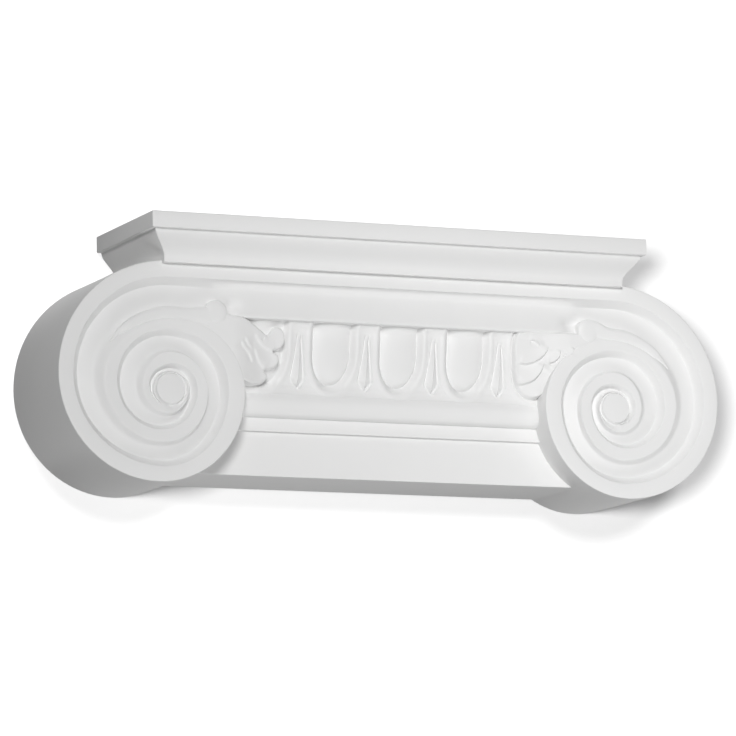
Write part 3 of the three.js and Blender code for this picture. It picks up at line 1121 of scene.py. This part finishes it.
@dataclass(frozen=True)
class PrimedFoam:
    """White primer sprayed on moulded foam: satin in front, a little coarser on the flat back."""

    tone: float = 0.86
    back_tone: float = 0.8
    roughness: float = 0.5
    orange_peel: float = 0.12

    def material(self) -> bpy.types.Material:
        """The finished material."""
        shader = Shader("primed_foam")
        place = shader.node("ShaderNodeTexCoord").outputs["Object"]
        parts = shader.node("ShaderNodeSeparateXYZ", Vector=place)
        rear = shader.value(
            shader.node(
                "ShaderNodeMapRange",
                {"interpolation_type": "SMOOTHSTEP"},
                Value=parts.outputs["Y"], From_Min=0.0338, From_Max=0.0344,
            )
        )
        cloud = shader.value(
            shader.node("ShaderNodeTexNoise", Vector=place, Scale=55.0, Detail=3.0, Roughness=0.55)
        )
        peel = shader.value(
            shader.node("ShaderNodeTexNoise", Vector=place, Scale=1500.0, Detail=2.0, Roughness=0.5)
        )
        grain = shader.value(
            shader.node("ShaderNodeTexNoise", Vector=place, Scale=420.0, Detail=5.0, Roughness=0.65)
        )
        pores = shader.value(
            shader.node("ShaderNodeTexVoronoi", {"feature": "F1"}, Vector=place, Scale=900.0)
        )
        front, back = self.tone, self.back_tone
        mix = shader.node(
            "ShaderNodeMix",
            {"data_type": "RGBA"},
            Factor=rear * (0.7 + 0.6 * cloud),
        )
        mix.inputs[6].default_value = (front, front, front * 0.996, 1)
        mix.inputs[7].default_value = (back, back, back * 0.985, 1)
        tint = shader.node("ShaderNodeMix", {"data_type": "RGBA", "blend_type": "MULTIPLY"}, Factor=1.0)
        shader.tree.links.new(mix.outputs[2], tint.inputs[6])
        clouded = 0.985 + 0.03 * cloud
        shade = shader.node("ShaderNodeCombineColor", Red=clouded, Green=clouded, Blue=clouded)
        shader.tree.links.new(shade.outputs[0], tint.inputs[7])
        height = peel * (1 - 0.6 * rear) * 0.6 + grain * (0.25 + 2.4 * rear) + pores * rear * 1.2
        bump = shader.node("ShaderNodeBump", Strength=self.orange_peel, Distance=0.0002, Height=height)
        glossy = shader.node(
            "ShaderNodeBsdfPrincipled",
            Base_Color=tint.outputs[2],
            Roughness=(self.roughness - 0.05) + 0.12 * cloud + 0.2 * rear,
            Normal=bump.outputs[0],
        )
        glossy.inputs["IOR"].default_value = 1.45
        return shader.surface(glossy)


# ---- Studio --------------------------------------------------------------------------------------


@dataclass(frozen=True)
class Studio:
    """Pale floor, pale wall close behind the capital, soft light and the camera."""

    floor_tone: float = 0.88
    # painted glow: the wall and floor give off light of their own, which lifts their shade and the
    # capital's shadow on them
    wall_glow: float = 0.09
    wall_gap: float = 0.0006
    reach: float = 6.0
    floor_glow: float = 0.2
    world: float = 0.15
    lens: float = 246.85
    roll: float = -1.033
    stand: tuple[float, float, float] = (-0.89306, -2.03188, -0.27764)
    aim: tuple[float, float, float] = (-0.001847, 0.0045, 0.05825)

    def _one_sided(self, name: str, glow: float) -> bpy.types.Material:
        """A pale surface with a painted glow of its own, that is clear when seen from behind."""
        shader = Shader(name)
        tone = (self.floor_tone,) * 3 + (1,)
        matt = shader.node("ShaderNodeBsdfPrincipled", Base_Color=tone, Roughness=0.9)
        # painted light: a faint white glow that brightens the sheet and softens the shadows on it
        matt.inputs["Emission Color"].default_value = (1, 1, 1, 1)
        matt.inputs["Emission Strength"].default_value = glow
        clear = shader.node("ShaderNodeBsdfTransparent")
        behind = shader.node("ShaderNodeNewGeometry").outputs["Backfacing"]
        mix = shader.node("ShaderNodeMixShader")
        shader.tree.links.new(behind, mix.inputs[0])
        shader.tree.links.new(matt.outputs[0], mix.inputs[1])
        shader.tree.links.new(clear.outputs[0], mix.inputs[2])
        return shader.surface(mix)

    def _sheet(self, name: str, size: float, turn: Matrix, glow: float) -> bpy.types.Object:
        """A square sheet of the stage."""
        bm = bmesh.new()
        bmesh.ops.create_grid(bm, x_segments=1, y_segments=1, size=size)
        bmesh.ops.transform(bm, matrix=turn, verts=bm.verts)
        mesh = bpy.data.meshes.new(name)
        bm.to_mesh(mesh)
        bm.free()
        sheet = bpy.data.objects.new(name, mesh)
        bpy.context.scene.collection.objects.link(sheet)
        mesh.materials.append(self._one_sided(name, glow))
        return sheet

    def _lamp(
        self, name: str, place: tuple[float, float, float], aim: tuple[float, float, float],
        power: float, radius: float, cone: float, lit: bpy.types.Collection,
    ) -> None:
        """A soft lamp that lights only the capital or only the stage.

        Args:
            name: The lamp's name.
            place: Where it stands.
            aim: The point that its axis runs through.
            power: Its power in watts.
            radius: Its size, which sets how soft its shadows are.
            cone: The whole angle of its beam in degrees.
            lit: The collection of what it lights.
        """
        lamp = bpy.data.lights.new(name, "SPOT")
        lamp.energy, lamp.shadow_soft_size = power, radius
        lamp.spot_size, lamp.spot_blend = math.radians(cone), 1.0
        holder = bpy.data.objects.new(name, lamp)
        holder.location = place
        holder.rotation_euler = (Vector(aim) - Vector(place)).to_track_quat("-Z", "Y").to_euler()
        bpy.context.scene.collection.objects.link(holder)
        holder.light_linking.receiver_collection = lit

    def build(self, capital: bpy.types.Object) -> None:
        """Builds the stage, the lights and the world.

        Args:
            capital: The finished casting.
        """
        floor = self._sheet("floor", self.reach, Matrix(), self.floor_glow)
        floor.visible_shadow = floor.visible_diffuse = False
        behind = Matrix.Translation((0, BACK_Y * MILLIMETRE + self.wall_gap, 0))
        upright = behind @ Matrix.Rotation(math.pi / 2, 4, "X")
        wall = self._sheet("wall", self.reach, upright, self.wall_glow)
        wall.visible_shadow = wall.visible_diffuse = wall.visible_glossy = False
        lit = {}
        for name, members in (("capital", [capital]), ("floor", [floor]), ("wall", [wall])):
            lit[name] = bpy.data.collections.new(f"lit_{name}")
            for member in members:
                lit[name].objects.link(member)
        world = bpy.data.worlds.new("studio")
        world.use_nodes = True
        sky = world.node_tree.nodes["Background"]
        sky.inputs["Color"].default_value = (1, 1, 1, 1)
        sky.inputs["Strength"].default_value = self.world
        bpy.context.scene.world = world
        for name, onto, place, aim, power, radius, cone in (
            ("key", "capital", (-0.98, -2.33, 0.7), (0.24, 0, 0.06), 212.0, 0.4, 30.0),
            ("fill", "capital", (0.5, -2.4, 0.2), (0.3, 0, 0.05), 24.0, 0.7, 60.0),
            ("bounce", "capital", (0.6, -0.7, -1.6), (0.15, 0, 0.05), 46.0, 0.5, 70.0),
            ("rear", "capital", (0.3, 2.4, 1.4), (0, 0, 0.05), 40.0, 0.8, 60.0),
            ("wash_left", "wall", (-1.38, -2.45, -0.15), (0, 0, 0.05), 250.0, 0.22, 120.0),
            ("wash_top", "wall", (-0.3, -2.6, 0.6), (0, 0, 0.05), 112.0, 0.22, 120.0),
            ("overhead", "floor", (-0.6, -1.2, 2.4), (0, 0, 0.0), 260.0, 0.5, 120.0),
        ):
            self._lamp(name, place, aim, power, radius, cone, lit[onto])

    def camera(self) -> None:
        """Sets up the camera."""
        data = bpy.data.cameras.new("camera")
        data.lens, data.sensor_width = self.lens, 36.0
        data.clip_start, data.clip_end = 0.1, 50.0
        camera = bpy.data.objects.new("camera", data)
        place, aim = Vector(self.stand), Vector(self.aim)
        look = (aim - place).to_track_quat("-Z", "Y").to_matrix().to_4x4()
        turn = Matrix.Rotation(math.radians(self.roll), 4, "Z")
        camera.matrix_world = Matrix.Translation(place) @ look @ turn
        bpy.context.scene.collection.objects.link(camera)
        bpy.context.scene.camera = camera
        bpy.context.scene.view_settings.view_transform = "Standard"


# ---- The capital ---------------------------------------------------------------------------------


@dataclass(frozen=True)
class Capital:
    """The whole capital, which is one casting."""

    plate: ScrollPlate = field(default_factory=ScrollPlate)
    stem: Stem = field(default_factory=Stem)
    abacus: Abacus = field(default_factory=Abacus)
    mouldings: Mouldings = field(default_factory=Mouldings)
    strip: EggAndDart = field(default_factory=EggAndDart)
    finish: PrimedFoam = field(default_factory=PrimedFoam)

    def build(self) -> bpy.types.Object:
        """Builds and dresses the casting.

        Returns:
            The finished object.
        """
        casting = Casting("capital_casting", self.mouldings.build())
        self.strip.build(casting)
        casting.settle()
        LOG.info("carved strip: %d faces", len(casting.shape.data.polygons))
        for side, leaf in ((Side.LEFT, LEFT_LEAF), (Side.RIGHT, RIGHT_LEAF)):
            casting.work(leaf.build(self.mouldings, side))
        casting.work(self.plate.build())
        casting.work(self.abacus.build())
        for side in Side:
            for solid in self.stem.build(side):
                casting.work(solid)
        shape = casting.finish(crease=33)
        shape.data.materials.clear()
        shape.data.materials.append(self.finish.material())
        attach(shape, "root")
        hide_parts("capital")
        return shape


def main() -> None:
    """Builds the capital and its studio."""
    logging.basicConfig(level=logging.INFO, format="%(name)s: %(message)s")
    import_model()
    shape = Capital().build()
    LOG.info("casting: %d faces, %d points", len(shape.data.polygons), len(shape.data.vertices))
    studio = Studio()
    studio.build(shape)
    studio.camera()


if __name__ == "__main__":
    main()
